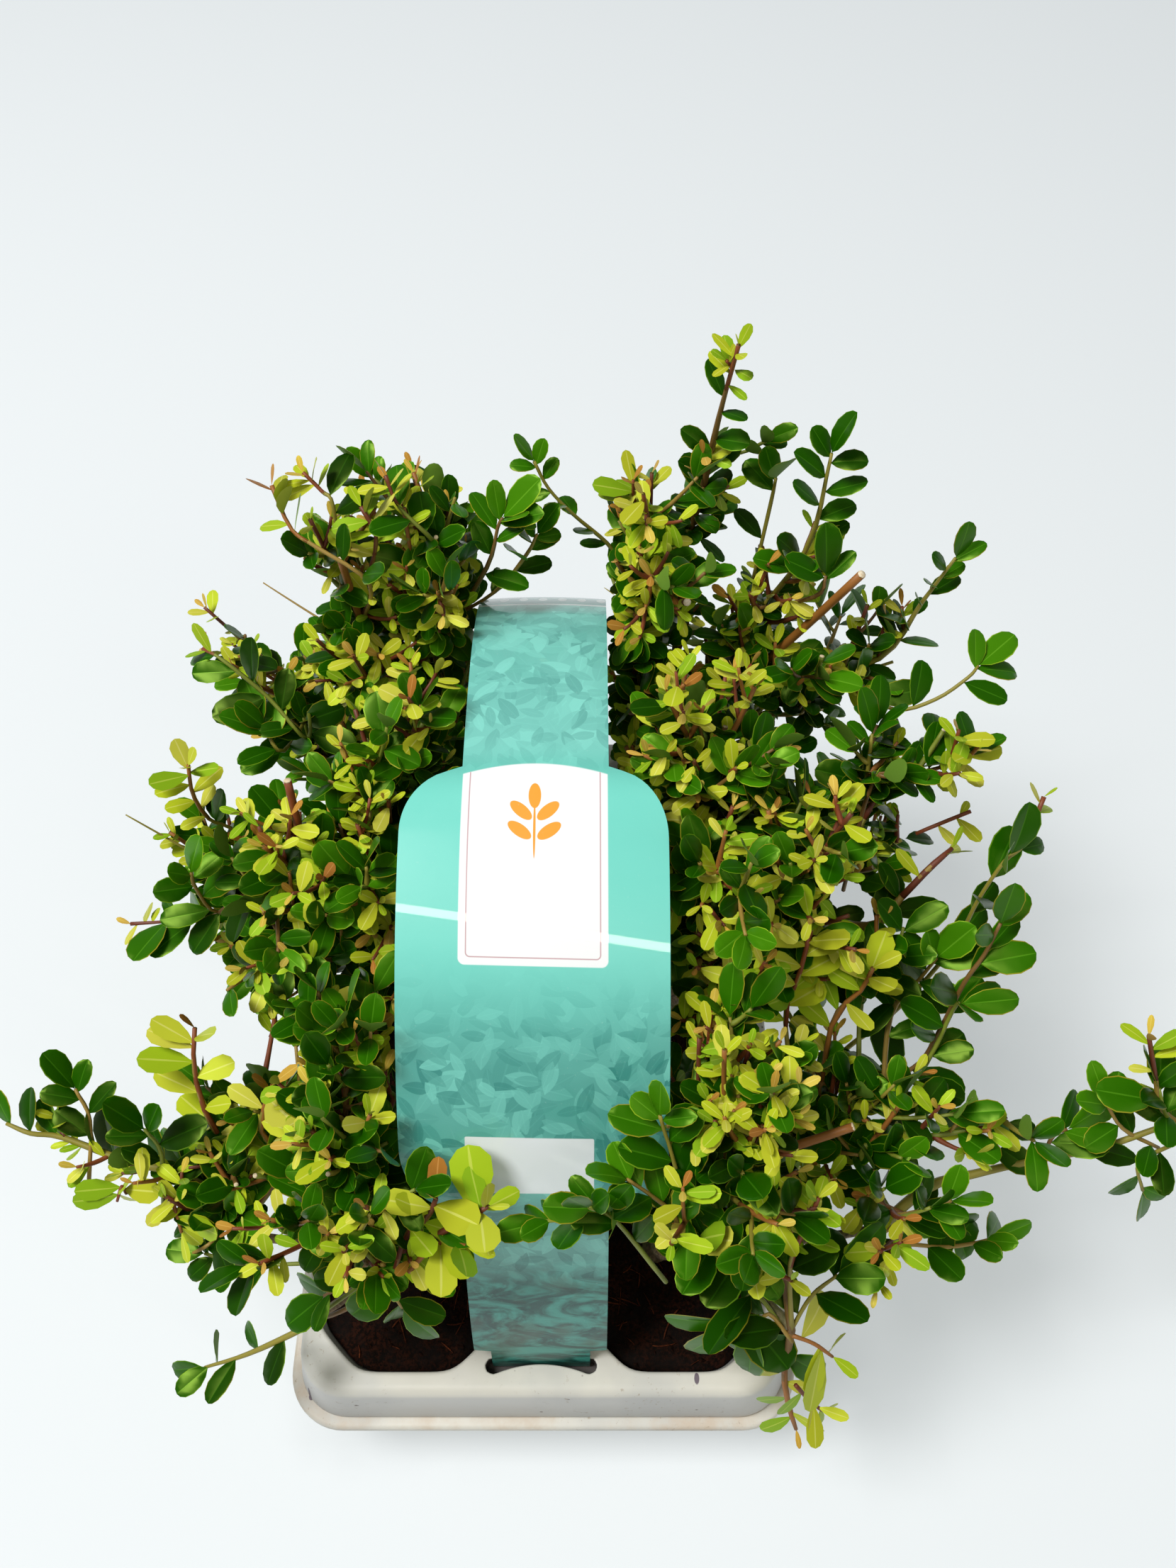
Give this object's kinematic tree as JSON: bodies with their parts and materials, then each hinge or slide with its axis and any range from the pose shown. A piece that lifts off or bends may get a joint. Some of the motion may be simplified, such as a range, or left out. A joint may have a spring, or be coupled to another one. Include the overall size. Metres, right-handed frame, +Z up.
{
  "type": "japanese holly shrub",
  "caption": "Dense small-leaved evergreen holly growing in a moulded carry tray of soil-filled cells, with a printed carry strap arching over the crown.",
  "frame": {"origin": "middle of the whole plant's bounding box, on the flat ground that the tray stands on", "axes": "+Z up, +Y along the tray from its front end to its back end, +X to the right as seen from the front"},
  "size_m": [0.4418, 0.3411, 0.3505],
  "materials": {
    "tray_plastic": "off-white moulded plastic, slightly dirty",
    "strap_card": "glossy teal printed strap",
    "potting_soil": "dark brown fibrous soil",
    "bark": "matt brown to olive bark",
    "foliage": "glossy dark green leaves"
  },
  "bodies": {
    "root": {"tray": "tray_plastic", "carry_strap": "strap_card", "soil_left_front": "potting_soil", "soil_left_middle": "potting_soil", "soil_left_back": "potting_soil", "soil_right_front": "potting_soil", "soil_right_middle": "potting_soil", "soil_right_back": "potting_soil", "stem_left_front": "bark", "stem_left_middle": "bark", "stem_left_back": "bark", "stem_right_front": "bark", "stem_right_middle": "bark", "stem_right_back": "bark", "bough_inner_left_middle": "bark", "bough_inner_left_back": "bark", "bough_upper_left_front": "bark", "bough_upper_left_middle": "bark", "bough_upper_left_back": "bark", "bough_outer_left_front": "bark", "bough_outer_left_middle": "bark", "bough_outer_left_back": "bark", "bough_inner_right_middle": "bark", "bough_inner_right_back": "bark", "bough_upper_right_front": "bark", "bough_upper_right_middle": "bark", "bough_upper_right_back": "bark", "bough_outer_right_front": "bark", "bough_outer_right_middle": "bark", "bough_outer_right_back": "bark", "bough_tall_leader": "bark", "bough_right_reach": "bark", "bough_left_reach": "bark", "bough_front_right_droop": "bark", "bough_front_left_low": "bark", "bough_front_left_cross": "bark", "bough_front_right_cross": "bark", "leaves_inner_left_middle": "foliage", "leaves_inner_left_back": "foliage", "leaves_upper_left_front": "foliage", "leaves_upper_left_middle": "foliage", "leaves_upper_left_back": "foliage", "leaves_outer_left_front": "foliage", "leaves_outer_left_middle": "foliage", "leaves_outer_left_back": "foliage", "leaves_inner_right_middle": "foliage", "leaves_inner_right_back": "foliage", "leaves_upper_right_front": "foliage", "leaves_upper_right_middle": "foliage", "leaves_upper_right_back": "foliage", "leaves_outer_right_front": "foliage", "leaves_outer_right_middle": "foliage", "leaves_outer_right_back": "foliage", "leaves_tall_leader": "foliage", "leaves_right_reach": "foliage", "leaves_left_reach": "foliage", "leaves_front_right_droop": "foliage", "leaves_front_left_low": "foliage", "leaves_front_left_cross": "foliage", "leaves_front_right_cross": "foliage"}
  },
  "joints": []
}
